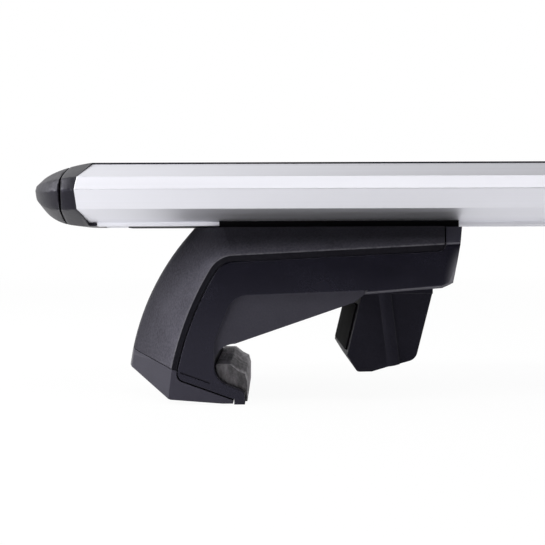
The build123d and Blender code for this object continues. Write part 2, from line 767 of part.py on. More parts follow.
def is_worn_edge(edge):
    """Edge of the hook pad's two ends on the side that faces the rail."""
    middle = edge.center()
    at_end = abs(abs(middle.Y) - HOOK_PAD_HALF) < HOOK_PAD_CLEAR
    on_face = middle.X > HOOK_PAD_FACE_X - 2 * HOOK_PAD_CLEAR
    above = middle.Z > HOOK_PAD_FACE_Z + HOOK_PAD_CLEAR and middle.X > HOOK_PAD_BACK_X + HOOK_PAD_ROUND
    return at_end and (on_face or above)


with BuildPart() as hook_pad:
    with BuildSketch(Plane.XZ) as hook_profile:
        low = swing(POCKET_X, POCKET_Z, POCKET_R - HOOK_PAD_CLEAR, POCKET_LOW)
        back = swing(POCKET_X, POCKET_Z, POCKET_R - HOOK_PAD_CLEAR, POCKET_LOW + 20)
        over_lip = LIP_END_X + HOOK_PAD_CLEAR
        with BuildLine():
            Polyline(
                (HOOK_PAD_BACK_X, POCKET_Z),
                (HOOK_PAD_TOP_X, POCKET_Z),
                (HOOK_PAD_FACE_X - KNEE_RUN, HOOK_PAD_SHOULDER_Z),
                (HOOK_PAD_FACE_X, HOOK_PAD_FACE_Z),
                (HOOK_PAD_FACE_X, HOOK_PAD_LOW_Z),
                (over_lip, HOOK_PAD_LOW_Z),
                (over_lip, LIP_END_Z + HOOK_PAD_CLEAR),
                low,
                back,
                close=True,
            )
        make_face()
        inner_corner = hook_profile.vertices().sort_by_distance((over_lip, LIP_END_Z + HOOK_PAD_CLEAR))[0]
        fillet(inner_corner, LIP_ROUND + HOOK_PAD_CLEAR)
    extrude(amount=HOOK_PAD_HALF, both=True)
    fillet(hook_pad.faces().sort_by(Axis.Z)[-1].edges().filter_by(Axis.Y), HOOK_PAD_ROUND)
    fillet(hook_pad.edges().filter_by(is_worn_edge), HOOK_PAD_EDGE)


# Jaw with its carriage
def jaw_face_x(z):
    """Place of the jaw's leaning clamp face at a height."""
    lean = (JAW_FRONT_X - JAW_LIP_X) / (JAW_SHOULDER_Z - JAW_LIP_Z)
    return JAW_LIP_X + (z - JAW_LIP_Z) * lean


def jaw_rib_x(z):
    """Place of the outer edge of the jaw's side rib at a height."""
    lean = (JAW_RIB_TOP_X - JAW_RIB_LOW_X) / (JAW_SHOULDER_Z - JAW_TOE_Z)
    return JAW_RIB_LOW_X + (z - JAW_TOE_Z) * lean


def side_cut(side, corners):
    """Cut in one side of the jaw below its carriage, from (x function, depth) corners."""
    with BuildPart() as cut:
        for z in (0, JAW_SHOULDER_Z):
            with BuildSketch(Plane.XY.offset(z)):
                with BuildLine():
                    Polyline(
                        [(place(z), side * (JAW_HALF - depth)) for place, depth in corners],
                        close=True,
                    )
                make_face()
        loft(ruled=True)
    return cut.part


valley_corners = (
    (lambda z: jaw_face_x(z) + JAW_EDGE, 0),
    (lambda z: jaw_face_x(z) + JAW_EDGE, -JAW_CLEAR),
    (lambda z: jaw_rib_x(z), -JAW_CLEAR),
    (lambda z: jaw_rib_x(z), 0),
    (lambda z: jaw_rib_x(z) - JAW_RIB_RAMP, JAW_VALLEY),
)
panel_corners = (
    (lambda z: jaw_rib_x(z) + JAW_RIB_WIDTH, -JAW_CLEAR),
    (lambda z: JAW_BACK_X + FAR, -JAW_CLEAR),
    (lambda z: JAW_BACK_X + FAR, JAW_PANEL),
    (lambda z: jaw_rib_x(z) + JAW_RIB_WIDTH, JAW_PANEL),
)
jaw_cuts = [
    side_cut(side, corners)
    for side in (-1, 1)
    for corners in (valley_corners, panel_corners)
]

with BuildPart() as jaw:
    with BuildSketch(Plane.XZ) as jaw_profile:
        with BuildLine():
            Polyline(
                (JAW_BACK_X, CAVITY_ROOF - JAW_CLEAR),
                (JAW_FRONT_X, CAVITY_ROOF - JAW_CLEAR),
                (JAW_FRONT_X, JAW_SHOULDER_Z),
                (JAW_LIP_X, JAW_LIP_Z),
                (JAW_TOE_X, JAW_TOE_Z),
                (JAW_TOE_X + JAW_TOE_RUN, JAW_TOE_Z),
                (JAW_HEEL_X, JAW_HEEL_Z),
                (JAW_BACK_X, JAW_SHOULDER_Z),
                close=True,
            )
        make_face()
        corners = jaw_profile.vertices()
        fillet(corners.sort_by_distance((JAW_HEEL_X, JAW_HEEL_Z))[0], JAW_HEEL_R)
        corners = jaw_profile.vertices()
        fillet(corners.sort_by_distance((JAW_TOE_X, JAW_TOE_Z))[0], JAW_TOE_R)
    extrude(amount=JAW_HALF, both=True)
    for cut in jaw_cuts:
        add(cut, mode=Mode.SUBTRACT)
    # Pockets between the ribs of its back
    pocket_low = JAW_TOE_Z + JAW_POCKET_RISE
    pocket_high = JAW_SHOULDER_Z - JAW_POCKET_DROP
    with Locations((JAW_BACK_X - JAW_POCKET_DEPTH, 0, pocket_low)):
        with GridLocations(0, JAW_POCKET_PITCH, 1, 3):
            Box(
                FAR,
                JAW_POCKET_WIDTH,
                pocket_high - pocket_low,
                align=(Align.MIN, Align.CENTER, Align.MIN),
                mode=Mode.SUBTRACT,
            )
    # Seat of the pad in the clamp face
    with BuildSketch(Plane.XZ):
        with BuildLine():
            Polyline(
                (jaw_face_x(JAW_PAD_LOW_Z) - JAW_PAD_T, JAW_PAD_LOW_Z),
                (jaw_face_x(JAW_PAD_LOW_Z) + JAW_PAD_SEAT, JAW_PAD_LOW_Z),
                (jaw_face_x(JAW_PAD_HIGH_Z) + JAW_PAD_SEAT, JAW_PAD_HIGH_Z),
                (jaw_face_x(JAW_PAD_HIGH_Z) - JAW_PAD_T, JAW_PAD_HIGH_Z),
                close=True,
            )
        make_face()
    extrude(amount=JAW_PAD_HALF, both=True, mode=Mode.SUBTRACT)
    # Wings in the body's guides
    with Locations((JAW_FRONT_X + WING_SETBACK, 0, GUIDE_Z + JAW_CLEAR)):
        Box(
            JAW_BACK_X - JAW_FRONT_X - 2 * WING_SETBACK,
            2 * (CAVITY_HALF + GUIDE_DEPTH - JAW_CLEAR),
            GUIDE_HEIGHT - 2 * JAW_CLEAR,
            align=(Align.MIN, Align.CENTER, Align.MIN),
        )
    # Block around the nut in the body's channel
    with Locations((JAW_FRONT_X + BLOCK_SETBACK, 0, JAW_SHOULDER_Z)):
        Box(
            JAW_BACK_X - JAW_FRONT_X - 2 * BLOCK_SETBACK,
            2 * (CHANNEL_HALF - JAW_CLEAR),
            CHANNEL_ROOF - JAW_CLEAR - JAW_SHOULDER_Z,
            align=(Align.MIN, Align.CENTER, Align.MIN),
        )
    # Slot for the nut, open at the top, and the bolt's way through
    with Locations((NUT_X, 0, BOLT_Z - NUT_SIZE / 2 - NUT_CLEAR)):
        Box(
            NUT_T + 2 * NUT_CLEAR,
            NUT_SIZE + 2 * NUT_CLEAR,
            FAR,
            align=(Align.CENTER, Align.CENTER, Align.MIN),
            mode=Mode.SUBTRACT,
        )
    with BuildSketch(Plane.YZ):
        with Locations((0, BOLT_Z)):
            Circle(BOLT_D / 2 + BOLT_FREE)
    extrude(amount=FAR, mode=Mode.SUBTRACT)

with BuildPart() as jaw_pad:
    with BuildSketch(Plane.XZ):
        with BuildLine():
            low_z = JAW_PAD_LOW_Z + NUT_CLEAR
            high_z = JAW_PAD_HIGH_Z - NUT_CLEAR
            proud = JAW_PAD_T - JAW_PAD_SEAT
            Polyline(
                (jaw_face_x(low_z) - proud, low_z),
                (jaw_face_x(low_z) + JAW_PAD_SEAT, low_z),
                (jaw_face_x(high_z) + JAW_PAD_SEAT, high_z),
                (jaw_face_x(high_z) - proud, high_z),
                close=True,
            )
        make_face()
    extrude(amount=JAW_PAD_HALF - NUT_CLEAR, both=True)

with BuildPart() as jaw_nut:
    with Locations((NUT_X, 0, BOLT_Z)):
        Box(NUT_T, NUT_SIZE, NUT_SIZE)
    with BuildSketch(Plane.YZ):
        with Locations((0, BOLT_Z)):
            Circle(BOLT_D / 2 + BOLT_FIT)
    extrude(amount=FAR, mode=Mode.SUBTRACT)

with BuildPart() as clamp_bolt:
    with BuildSketch(Plane.YZ.offset(HEAD_SEAT_X - BOLT_HEAD_L)):
        with Locations((0, BOLT_Z)):
            Circle(BOLT_HEAD_D / 2)
    extrude(amount=BOLT_HEAD_L)
    with BuildSketch(Plane.YZ.offset(HEAD_SEAT_X)):
        with Locations((0, BOLT_Z)):
            Circle(BOLT_D / 2)
    extrude(amount=BOLT_TIP_X - HEAD_SEAT_X)
    with BuildSketch(Plane.YZ.offset(HEAD_SEAT_X - BOLT_HEAD_L)):
        with Locations((0, BOLT_Z)):
            RegularPolygon(BOLT_SOCKET / 2, 6, major_radius=False)
    extrude(amount=BOLT_SOCKET_DEPTH, mode=Mode.SUBTRACT)
    # Groove for the retaining clip
    with BuildSketch(Plane.YZ.offset(CLIP_X)):
        with Locations((0, BOLT_Z)):
            Circle(BOLT_D / 2)
            Circle(BOLT_D / 2 - CLIP_GROOVE, mode=Mode.SUBTRACT)
    extrude(amount=CLIP_T + 2 * CLIP_PLAY, mode=Mode.SUBTRACT)

with BuildPart() as bolt_washer:
    with BuildSketch(Plane.YZ.offset(HEAD_SEAT_X)):
        with Locations((0, BOLT_Z)):
            Circle(WASHER_D / 2)
            Circle(BOLT_D / 2 + BOLT_FIT, mode=Mode.SUBTRACT)
    extrude(amount=WASHER_T)

with BuildPart() as bolt_clip:
    with BuildSketch(Plane.YZ.offset(CLIP_X + CLIP_PLAY)):
        with Locations((0, BOLT_Z)):
            Circle(CLIP_D / 2)
            Circle(BOLT_D / 2 - CLIP_GROOVE + BOLT_FIT, mode=Mode.SUBTRACT)
    extrude(amount=CLIP_T)

# Saddle, slide plate and screws that hold the foot to the bar
with BuildPart() as saddle_pad:
    with BuildSketch(cross_plane(SADDLE_OUTER)):
        outer = SADDLE_HALF
        inner = outer - SADDLE_LIP
        inner_top = LAND_DROP - SADDLE_CLEAR
        outer_top = inner_top + SADDLE_LIP * FACET_SLOPE
        with BuildLine():
            Polyline(
                (-outer, -SADDLE_THICK),
                (outer, -SADDLE_THICK),
                (outer, outer_top),
                (inner, inner_top),
                (inner, -SADDLE_CLEAR),
                (-inner, -SADDLE_CLEAR),
                (-inner, inner_top),
                (-outer, outer_top),
                close=True,
            )
        make_face()
    extrude(amount=SADDLE_INNER - SADDLE_OUTER)
    # Way for the slide plate's tongue
    with Locations((SADDLE_OUTER, 0, NECK_TOP)):
        Box(
            PLATE_INNER + PLATE_CLEAR - SADDLE_OUTER,
            LOW_MOUTH,
            FAR,
            align=(Align.MIN, Align.CENTER, Align.MIN),
            mode=Mode.SUBTRACT,
        )

with BuildPart() as slide_plate:
    with BuildSketch(cross_plane(PLATE_OUTER)):
        with Locations((0, LOW_LIP + PLATE_CLEAR)):
            Rectangle(
                LOW_WIDTH - 2 * PLATE_CLEAR, PLATE_THICK, align=(Align.CENTER, Align.MIN)
            )
        with Locations((0, -PLATE_PROUD)):
            Rectangle(
                LOW_MOUTH - 2 * PLATE_CLEAR,
                PLATE_PROUD + LOW_LIP + PLATE_CLEAR,
                align=(Align.CENTER, Align.MIN),
            )
    extrude(amount=PLATE_INNER - PLATE_OUTER)
    with BuildSketch(Plane.XY.offset(NECK_TOP)):
        with Locations((SCREW_OUTER_X, 0), (SCREW_INNER_X, 0)):
            Circle(SCREW_D / 2 + BOLT_FIT)
    extrude(amount=FAR, mode=Mode.SUBTRACT)

with BuildPart() as foot_screws:
    head_z = CHANNEL_ROOF + SCREW_SINK
    screw_top = UNDERSIDE + LOW_LIP + PLATE_CLEAR + PLATE_THICK
    with BuildSketch(Plane.XY.offset(head_z)):
        with Locations((SCREW_OUTER_X, 0), (SCREW_INNER_X, 0)):
            Circle(SCREW_HEAD_D / 2)
    extrude(amount=SCREW_HEAD_L)
    with BuildSketch(Plane.XY.offset(head_z)):
        with Locations((SCREW_OUTER_X, 0), (SCREW_INNER_X, 0)):
            Circle(SCREW_D / 2)
    extrude(amount=screw_top - head_z)
    with BuildSketch(Plane.XY.offset(head_z)):
        with Locations((SCREW_OUTER_X, 0), (SCREW_INNER_X, 0)):
            RegularPolygon(SCREW_SOCKET / 2, 6, major_radius=False)
    extrude(amount=SCREW_SOCKET_DEPTH, mode=Mode.SUBTRACT)


# Placing: feet and caps on the left, and their mirror images on the right
def write(piece, label):
    """Label a finished piece and write it to its own file."""
    piece.label = label
    export_step(piece, f"parts/{label}.step")


def write_pair(shape, name, shift):
    """Write a left piece, moved along the bar, and its mirror image on the right."""
    with BuildPart() as left:
        with Locations((shift, 0, 0)):
            add(shape)
    with BuildPart() as right:
        mirror(left.part, about=Plane.YZ)
    write(left.part, f"left_{name}")
    write(right.part, f"right_{name}")


write(bar_extrusion.part, "bar_extrusion")
write(top_strip.part, "top_strip")
write_pair(end_collar.part, "end_collar", 0)
write_pair(end_nose.part, "end_nose", 0)

foot_pieces = {
    "foot_body": foot_body,
    "foot_cover": foot_cover,
    "toe_cap": toe_cap,
    "hook_pad": hook_pad,
    "jaw": jaw,
    "jaw_pad": jaw_pad,
    "jaw_nut": jaw_nut,
    "clamp_bolt": clamp_bolt,
    "bolt_washer": bolt_washer,
    "bolt_clip": bolt_clip,
    "saddle_pad": saddle_pad,
    "slide_plate": slide_plate,
    "foot_screws": foot_screws,
}
for name, piece in foot_pieces.items():
    write_pair(piece.part, name, -FOOT_X)
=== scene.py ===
import json
from math import radians

import bpy
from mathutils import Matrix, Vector

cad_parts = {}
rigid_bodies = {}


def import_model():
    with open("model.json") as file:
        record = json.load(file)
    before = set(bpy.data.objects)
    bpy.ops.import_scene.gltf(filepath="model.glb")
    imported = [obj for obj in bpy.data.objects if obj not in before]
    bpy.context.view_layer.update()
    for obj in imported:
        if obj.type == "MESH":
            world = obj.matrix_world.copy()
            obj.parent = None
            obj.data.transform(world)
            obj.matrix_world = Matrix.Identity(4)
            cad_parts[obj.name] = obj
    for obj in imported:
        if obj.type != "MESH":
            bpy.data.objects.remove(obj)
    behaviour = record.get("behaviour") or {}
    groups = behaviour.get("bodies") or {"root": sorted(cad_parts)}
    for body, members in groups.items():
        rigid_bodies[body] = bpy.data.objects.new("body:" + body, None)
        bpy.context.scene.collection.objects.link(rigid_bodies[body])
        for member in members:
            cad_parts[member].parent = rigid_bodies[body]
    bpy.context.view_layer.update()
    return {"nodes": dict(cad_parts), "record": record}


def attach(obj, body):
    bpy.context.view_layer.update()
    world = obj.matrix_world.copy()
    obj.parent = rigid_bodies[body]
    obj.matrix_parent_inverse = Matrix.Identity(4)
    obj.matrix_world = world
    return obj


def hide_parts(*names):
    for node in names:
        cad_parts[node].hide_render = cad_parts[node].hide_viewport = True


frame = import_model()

nodes = frame["nodes"]
record = frame["record"]
SIDES = ("left", "right")

# Camera: low in front of the left foot, level with its beam
FOOT_X = -0.488
CAMERA_Y = -0.339
CAMERA_Z = 0.0676
CAMERA_ROLL = 0.2
FRAME_PX = 545
FOCAL_PX = 698
EYE_PX = (270, 250)
SENSOR_WIDTH = 36
NEAREST_SEEN = 0.01

# Lamps: place, aim and size in metres, power in watts
LAMPS = {
    "side": ((-1.25, -0.08, 0.55), (-0.5, 0, 0.05), (0.45, 0.45), 7),
    "low": ((-0.95, -0.35, 0.06), (-0.5, 0, 0.06), (0.35, 0.1), 1.2),
    "strip": ((0.45, -0.35, 1.0), (0.45, 0, 0.1), (2.4, 0.25), 8.3),
    "overhead": ((-0.2, 0.05, 1.2), (-0.2, 0, 0.1), (2.4, 0.4), 1),
}

# Floor and room: size of the floor, its paint far from and near to the part, and the room's light
FLOOR_SIZE = 30
FLOOR_DARK = (0.08, 0.08, 0.08)
FLOOR_PALE = (0.9, 0.9, 0.9)
WHITE = (1, 1, 1, 1)
ROOM_LIGHT = 0.9
ROOM_DIM = 0.02

# Copies of CAD pieces: merging distance, and the turns in degrees of a flat face and of a sharp edge
MERGE_GAP = 0.000002
FLAT_TURN = 0.2
SHARP_TURN = 28
PAD_SHARP_TURN = 70

# Edges: radius that rounds them in the shading, and width of the worn ones, which also carry a painted
# highlight
EDGE_ROUND = 0.0004
WORN_HIGHLIT_EDGE = 0.0007

# Foot: half the distance between its side panels, heights of the cover's shoulder, over which its painted
# light fades, and of the panels' top, and the lower groove of the panels
PANEL_HALF = 0.0335
SHOULDER_LOW_Z = 0.062
SHOULDER_HIGH_Z = 0.074
PANEL_TOP_Z = 0.0700
PANEL_TOP_BLEND = 0.0008
GROOVE_Z = 0.016
GROOVE_END_Z = 0.020

# Foot's inner end, where a highlight is painted along its leaning edge: it leans, so its distance from the
# bar's middle grows by this share of the height
TAIL_LEAN = 0.205
TAIL_START = 0.4242
TAIL_END = 0.4192
TAIL_HIGH_Z = 0.0690
TAIL_LOW_Z = 0.0590

# Hook's rubber block: half its length, the back that swells against its pocket, and by how much
PAD_HALF = 0.030
PAD_BACK_X = 0.5104
PAD_BACK_Z = 0.0125
PAD_FOLD_Z = 0.0140
PAD_SWELL = 0.0008

# Darker and lighter tone of each finish
BAR_TONES = ((0.79, 0.79, 0.835), (0.85, 0.85, 0.90))
STRIP_TONES = ((0.008, 0.008, 0.009), (0.014, 0.014, 0.015))
CAP_TONES = ((0.0068, 0.0065, 0.0090), (0.0115, 0.0108, 0.0145))
COVER_TONES = ((0.0040, 0.0038, 0.0052), (0.0078, 0.0075, 0.0098))
# Cover: lifted tones of its leg are painted light; its top keeps the dark tones as painted shade
COVER_LIT_TONES = ((0.044, 0.042, 0.053), (0.083, 0.080, 0.098))
PANEL_TONES = ((0.0045, 0.0043, 0.0080), (0.0075, 0.0071, 0.0125))
WEB_TONES = ((0.030, 0.0288, 0.0365), (0.040, 0.0385, 0.048))
TOE_TONES = ((0.0270, 0.0257, 0.0340), (0.0358, 0.0341, 0.0451))
JAW_TONES = ((0.0056, 0.0053, 0.0087), (0.0098, 0.0093, 0.0136))
RUBBER_TONES = ((0.002, 0.002, 0.0022), (0.0035, 0.0035, 0.0038))
# Hook pad: grey rubber lifted further as painted light, and darker end faces as painted shade
GREY_AND_LIT_TONES = ((0.26, 0.25, 0.265), (0.80, 0.77, 0.81))
PAD_SHADED_END_TONES = ((0.050, 0.047, 0.051), (0.165, 0.156, 0.168))
PLATE_TONES = ((0.02, 0.02, 0.022), (0.03, 0.03, 0.032))
STEEL_TONES = ((0.50, 0.50, 0.51), (0.62, 0.62, 0.64))

# Cool cast of the sheen on the black mouldings, the painted highlights on the creases and on the foot's inner
# end, the tones of the worn edges, which also carry a painted highlight, and the tone of the groove
BLACK_TINT = (0.80, 0.77, 1, 1)
CREASE_HIGHLIGHT = (0.105, 0.102, 0.112)
TAIL_HIGHLIGHT = (0.17, 0.165, 0.18)
CAP_WEAR_AND_HIGHLIGHT = (0.06, 0.06, 0.065)
JAW_WEAR_AND_HIGHLIGHT = (0.03, 0.03, 0.032)
GROOVE_DARK = (0.002, 0.002, 0.003)


# Node helpers
def new_material(name):
    """Empty procedural material with its shader, its output and Object coordinates."""
    material = bpy.data.materials.new(name)
    material.use_nodes = True
    tree = material.node_tree
    shader = tree.nodes["Principled BSDF"]
    place = tree.nodes.new("ShaderNodeTexCoord").outputs["Object"]
    return material, tree, shader, place


def axes(tree, place):
    """A place's X, Y and Z."""
    split = tree.nodes.new("ShaderNodeSeparateXYZ")
    tree.links.new(place, split.inputs["Vector"])
    return split.outputs["X"], split.outputs["Y"], split.outputs["Z"]


def mapped(tree, place, scale):
    """Coordinates stretched along each axis."""
    mapping = tree.nodes.new("ShaderNodeMapping")
    mapping.inputs["Scale"].default_value = scale
    tree.links.new(place, mapping.inputs["Vector"])
    return mapping.outputs["Vector"]


def noise(tree, place, scale, detail=2.0, roughness=0.5):
    """Soft random field."""
    node = tree.nodes.new("ShaderNodeTexNoise")
    node.inputs["Scale"].default_value = scale
    node.inputs["Detail"].default_value = detail
    node.inputs["Roughness"].default_value = roughness
    tree.links.new(place, node.inputs["Vector"])
    return node.outputs["Fac"]


def spread(tree, field, low, high, to_low, to_high):
    """A field's range carried over to another range."""
    node = tree.nodes.new("ShaderNodeMapRange")
    names = ("From Min", "From Max", "To Min", "To Max")
    for name, value in zip(names, (low, high, to_low, to_high)):
        node.inputs[name].default_value = value
    tree.links.new(field, node.inputs["Value"])
    return node.outputs["Result"]


def blend_colours(tree, field, first, second):
    """Two colours mixed by a field."""
    node = tree.nodes.new("ShaderNodeMix")
    node.data_type = "RGBA"
    tree.links.new(field, node.inputs["Factor"])
    for socket, colour in ((node.inputs[6], first), (node.inputs[7], second)):
        if isinstance(colour, tuple):
            socket.default_value = (*colour, 1)
        else:
            tree.links.new(colour, socket)
    return node.outputs[2]


def arithmetic(tree, operation, first, second):
    """One step of arithmetic on fields or numbers."""
    node = tree.nodes.new("ShaderNodeMath")
    node.operation = operation
    for socket, value in zip(node.inputs, (first, second)):
        if isinstance(value, (int, float)):
            socket.default_value = value
        else:
            tree.links.new(value, socket)
    return node.outputs["Value"]


def product(tree, *fields):
    """Several fields or numbers multiplied."""
    result = fields[0]
    for field in fields[1:]:
        result = arithmetic(tree, "MULTIPLY", result, field)
    return result


def weighed(tree, first, first_share, second, second_share):
    """Two fields added by their shares."""
    return arithmetic(tree, "ADD", product(tree, first, first_share), product(tree, second, second_share))


def from_middle(tree, field):
    """Distance from the part's middle plane, the same on both sides."""
    return arithmetic(tree, "ABSOLUTE", field, 0)


def softened(tree, reach):
    """Normals of a piece with its edges rounded."""
    rounded = tree.nodes.new("ShaderNodeBevel")
    rounded.samples = 6
    rounded.inputs["Radius"].default_value = reach
    return rounded.outputs["Normal"]


def relief(tree, shader, height, depth, strength=1.0):
    """Fine relief of a surface, its depth in metres, with the edges of the piece rounded."""
    bump = tree.nodes.new("ShaderNodeBump")
    tree.links.new(softened(tree, EDGE_ROUND), bump.inputs["Normal"])
    bump.inputs["Strength"].default_value = strength
    bump.inputs["Distance"].default_value = depth
    tree.links.new(height, bump.inputs["Height"])
    tree.links.new(bump.outputs["Normal"], shader.inputs["Normal"])


def edges(tree, reach):
    """Mask that is 1 along the edges of a piece and 0 on its open faces."""
    turn = tree.nodes.new("ShaderNodeVectorMath")
    turn.operation = "DOT_PRODUCT"
    tree.links.new(softened(tree, reach), turn.inputs[0])
    tree.links.new(tree.nodes.new("ShaderNodeNewGeometry").outputs["Normal"], turn.inputs[1])
    return spread(tree, turn.outputs["Value"], 0.995, 0.93, 0, 1)


def inside_panel(tree, depth):
    """Mask that is 1 up to the plane of the foot's side panels and 0 on it."""
    return spread(tree, depth, PANEL_HALF - 0.0003, PANEL_HALF - 0.0001, 1, 0)


def black_sheen(shader, level):
    """Cool sheen of a black moulding."""
    shader.inputs["Specular IOR Level"].default_value = level
    shader.inputs["Specular Tint"].default_value = BLACK_TINT


# Finishes
def anodised_bar():
    """Satin anodised aluminium with faint lines along the extrusion."""
    material, tree, shader, place = new_material("anodised_bar")
    lines = noise(tree, mapped(tree, place, (1.5, 900, 900)), scale=1, detail=3)
    cloud = noise(tree, mapped(tree, place, (6, 30, 30)), scale=1, detail=2)
    tone = spread(tree, arithmetic(tree, "ADD", lines, cloud), 0.6, 1.4, 0, 1)
    tree.links.new(blend_colours(tree, tone, *BAR_TONES), shader.inputs["Base Color"])
    tree.links.new(spread(tree, lines, 0.3, 0.7, 0.55, 0.63), shader.inputs["Roughness"])
    shader.inputs["Metallic"].default_value = 1
    relief(tree, shader, lines, depth=0.00002, strength=0.5)
    return material


def moulded(name, tones, rough, grain_scale, grain_depth, sheen, wear_and_highlight=None):
    """Moulded plastic or rubber with a grain, faint changes of tone and, if given, paler edges, worn and with
    a painted highlight.
    """
    material, tree, shader, place = new_material(name)
    cloud = noise(tree, place, scale=60, detail=3)
    grain = noise(tree, place, scale=grain_scale, detail=2)
    tone = weighed(tree, cloud, 0.5, grain, 0.5)
    shade = blend_colours(tree, spread(tree, tone, 0.36, 0.64, 0, 1), *tones)
    # Paler edges, worn and with a painted highlight
    if wear_and_highlight:
        patchy = spread(tree, cloud, 0.3, 0.6, 0.35, 0.8)
        shade = blend_colours(tree, product(tree, edges(tree, WORN_HIGHLIT_EDGE), patchy), shade, wear_and_highlight)
    tree.links.new(shade, shader.inputs["Base Color"])
    tree.links.new(spread(tree, tone, 0.3, 0.7, rough - 0.05, rough + 0.05), shader.inputs["Roughness"])
    black_sheen(shader, sheen)
    relief(tree, shader, grain, grain_depth)
    return material


def cover_finish():
    """Grained black cover with painted light on its leg, growing towards its two long creases, and a painted
    highlight along them.
    """
    material, tree, shader, place = new_material("cover_grain")
    _, across, height = axes(tree, place)
    depth = from_middle(tree, across)
    grain = noise(tree, place, scale=1000, detail=2)
    cloud = noise(tree, place, scale=60, detail=3)
    tone = spread(tree, weighed(tree, cloud, 0.4, grain, 0.6), 0.36, 0.64, 0, 1)
    open_face = inside_panel(tree, depth)
    # Painted light on the leg, growing towards the creases and fading over the shoulder, so the top stays dark
    # as painted shade
    outward = spread(tree, depth, -0.004, PANEL_HALF - 0.0008, 0, 1)
    leg = spread(tree, height, SHOULDER_LOW_Z, SHOULDER_HIGH_Z, 1, 0.15)
    lit_leg = product(tree, outward, leg, open_face)
    # Painted highlight along the two long creases, broken up by noise
    line = spread(tree, depth, PANEL_HALF - 0.0010, PANEL_HALF - 0.0005, 0, 1)
    patchy = spread(tree, noise(tree, place, scale=500, detail=3), 0.35, 0.65, 0.3, 1)
    crease = product(tree, line, open_face, patchy)
    plain = blend_colours(tree, tone, *COVER_TONES)
    paler = blend_colours(tree, tone, *COVER_LIT_TONES)
    shade = blend_colours(tree, crease, blend_colours(tree, lit_leg, plain, paler), CREASE_HIGHLIGHT)
    tree.links.new(shade, shader.inputs["Base Color"])
    tree.links.new(spread(tree, tone, 0, 1, 0.55, 0.65), shader.inputs["Roughness"])
    black_sheen(shader, 0.13)
    relief(tree, shader, grain, depth=0.0002)
    return material


def worn_rubber():
    """Grey rubber block, dusty and smeared by the rails it has held, its tone lifted as painted light and both
    end faces darkened as painted shade.
    """
    material, tree, shader, place = new_material("worn_rubber")
    dust = noise(tree, place, scale=160, detail=4, roughness=0.6)
    smear = noise(tree, mapped(tree, place, (900, 120, 300)), scale=1, detail=3)
    grain = noise(tree, place, scale=1600, detail=2)
    tone = spread(tree, weighed(tree, dust, 0.6, smear, 0.4), 0.38, 0.62, 0, 1)
    # Painted light lifts the grey rubber's tone; both end faces get painted shade
    grey_and_lit = blend_colours(tree, tone, *GREY_AND_LIT_TONES)
    shaded_ends = blend_colours(tree, tone, *PAD_SHADED_END_TONES)
    _, across, _ = axes(tree, place)
    at_shaded_end = spread(tree, from_middle(tree, across), PAD_HALF - 0.0012, PAD_HALF - 0.0002, 0, 1)
    tree.links.new(blend_colours(tree, at_shaded_end, grey_and_lit, shaded_ends), shader.inputs["Base Color"])
    tree.links.new(spread(tree, tone, 0, 1, 0.65, 0.85), shader.inputs["Roughness"])
    shader.inputs["Specular IOR Level"].default_value = 0.3
    relief(tree, shader, arithmetic(tree, "ADD", smear, grain), depth=0.0002)
    return material


def housing_finish():
    """Blue-black satin side panels, a matt grey web set back from them, painted highlights along the web's
    steps and the inner end, and a dark lower groove.
    """
    material, tree, shader, place = new_material("housing_satin")
    along, across, height = axes(tree, place)
    depth = from_middle(tree, across)
    cloud = noise(tree, place, scale=45, detail=3)
    grain = noise(tree, place, scale=1400, detail=2)
    tone = spread(tree, weighed(tree, cloud, 0.5, grain, 0.5), 0.36, 0.64, 0, 1)
    # Satin on the side panels and above them, matt on the web
    side = spread(tree, depth, PANEL_HALF - 0.0009, PANEL_HALF - 0.0006, 0, 1)
    above = spread(tree, height, PANEL_TOP_Z, PANEL_TOP_Z + PANEL_TOP_BLEND, 0, 1)
    panel = arithmetic(tree, "MAXIMUM", side, above)
    matt = blend_colours(tree, tone, *WEB_TONES)
    satin = blend_colours(tree, tone, *PANEL_TONES)
    shade = blend_colours(tree, panel, matt, satin)
    # Steps beside the panels: a painted highlight along the web, dark in the lower groove
    step = spread(tree, depth, PANEL_HALF - 0.0012, PANEL_HALF - 0.0006, 0, 0.8)
    crease = product(tree, step, inside_panel(tree, depth))
    over_groove = spread(tree, height, GROOVE_Z, GROOVE_END_Z, 0, 1)
    shade = blend_colours(tree, crease, shade, blend_colours(tree, over_groove, GROOVE_DARK, CREASE_HIGHLIGHT))
    # Inner end of the foot, with a painted highlight growing towards its leaning edge
    lean = arithmetic(tree, "ADD", from_middle(tree, along), product(tree, height, TAIL_LEAN))
    near_edge = arithmetic(tree, "POWER", spread(tree, lean, TAIL_START, TAIL_END, 0, 1), 3)
    tail_highlight = product(tree, near_edge, spread(tree, height, TAIL_HIGH_Z, TAIL_LOW_Z, 0, 1))
    shade = blend_colours(tree, tail_highlight, shade, TAIL_HIGHLIGHT)
    tree.links.new(shade, shader.inputs["Base Color"])
    gloss = spread(tree, panel, 0, 1, 0.58, 0.24)
    worn = spread(tree, cloud, 0.3, 0.7, -0.04, 0.04)
    tree.links.new(arithmetic(tree, "ADD", gloss, worn), shader.inputs["Roughness"])
    black_sheen(shader, 0.35)
    relief(tree, shader, noise(tree, place, scale=2200, detail=2), depth=0.00003, strength=0.5)
    return material


def metal(name, tones, rough):
    """Plated or blackened metal with a fine random tone."""
    material, tree, shader, place = new_material(name)
    cloud = noise(tree, place, scale=300, detail=3)
    shade = blend_colours(tree, spread(tree, cloud, 0.35, 0.65, 0, 1), *tones)
    tree.links.new(shade, shader.inputs["Base Color"])
    tree.links.new(spread(tree, cloud, 0.3, 0.7, rough - 0.05, rough + 0.05), shader.inputs["Roughness"])
    shader.inputs["Metallic"].default_value = 1
    relief(tree, shader, noise(tree, place, scale=2500), depth=0.00003, strength=0.4)
    return material


